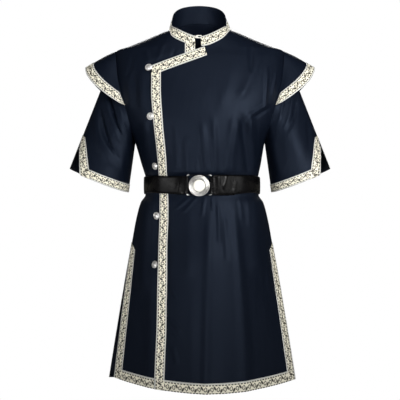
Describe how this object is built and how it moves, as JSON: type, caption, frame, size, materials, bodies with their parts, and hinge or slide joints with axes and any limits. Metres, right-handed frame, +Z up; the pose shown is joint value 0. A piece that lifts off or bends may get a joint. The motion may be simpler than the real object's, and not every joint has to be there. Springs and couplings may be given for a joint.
{
  "type": "medieval tunic",
  "caption": "Hollow worn-form medieval tunic with side-lapped front, standing collar, flared shoulder caps, elbow sleeves, slit skirt, scroll trim and buckled leather belt.",
  "frame": {"origin": "midway between the two points where the collar meets the shoulder seams, where the wearer's shoulders carry it", "axes": "+Z up along the garment's length, front faces -Y, wearer's left is +X"},
  "size_m": [0.6782, 0.2921, 0.9934],
  "materials": {
    "front_under": "satin",
    "front_over": "satin",
    "back": "satin",
    "sleeve_front_right": "satin",
    "sleeve_back_right": "satin",
    "sleeve_front_left": "satin",
    "sleeve_back_left": "satin",
    "cap_right": "satin",
    "cap_left": "satin",
    "collar": "satin",
    "trim_collar": "woven",
    "trim_neck": "woven",
    "trim_diagonal": "woven",
    "trim_lap": "woven",
    "trim_hem_under": "woven",
    "trim_hem_over": "woven",
    "trim_hem_back": "woven",
    "trim_cap_right": "woven",
    "trim_cap_left": "woven",
    "trim_slit_front_right": "woven",
    "trim_slit_back_right": "woven",
    "trim_slit_front_left": "woven",
    "trim_slit_back_left": "woven",
    "trim_cuff_front_right": "woven",
    "trim_cuff_back_right": "woven",
    "trim_cuff_front_left": "woven",
    "trim_cuff_back_left": "woven",
    "trim_vent_front_right": "woven",
    "trim_vent_back_right": "woven",
    "trim_vent_front_left": "woven",
    "trim_vent_back_left": "woven",
    "button_1": "polished",
    "button_2": "polished",
    "button_3": "polished",
    "button_4": "polished",
    "button_5": "polished",
    "collar_hook": "polished",
    "collar_eye": "polished",
    "buckle_frame": "polished",
    "buckle_ring": "polished",
    "buckle_boss": "polished",
    "belt_strap": "semi-gloss"
  },
  "bodies": {
    "root": {"front_under": "front_under", "front_over": "front_over", "back": "back", "sleeve_front_right": "sleeve_front_right", "sleeve_back_right": "sleeve_back_right", "sleeve_front_left": "sleeve_front_left", "sleeve_back_left": "sleeve_back_left", "cap_right": "cap_right", "cap_left": "cap_left", "collar": "collar", "trim_collar": "trim_collar", "trim_neck": "trim_neck", "trim_diagonal": "trim_diagonal", "trim_lap": "trim_lap", "trim_hem_under": "trim_hem_under", "trim_hem_over": "trim_hem_over", "trim_hem_back": "trim_hem_back", "trim_cap_right": "trim_cap_right", "trim_cap_left": "trim_cap_left", "trim_slit_front_right": "trim_slit_front_right", "trim_slit_back_right": "trim_slit_back_right", "trim_slit_front_left": "trim_slit_front_left", "trim_slit_back_left": "trim_slit_back_left", "trim_cuff_front_right": "trim_cuff_front_right", "trim_cuff_back_right": "trim_cuff_back_right", "trim_cuff_front_left": "trim_cuff_front_left", "trim_cuff_back_left": "trim_cuff_back_left", "trim_vent_front_right": "trim_vent_front_right", "trim_vent_back_right": "trim_vent_back_right", "trim_vent_front_left": "trim_vent_front_left", "trim_vent_back_left": "trim_vent_back_left", "button_1": "button_1", "button_2": "button_2", "button_3": "button_3", "button_4": "button_4", "button_5": "button_5", "collar_hook": "collar_hook", "collar_eye": "collar_eye", "buckle_frame": "buckle_frame", "buckle_ring": "buckle_ring", "buckle_boss": "buckle_boss", "belt_strap": "belt_strap"}
  },
  "joints": []
}
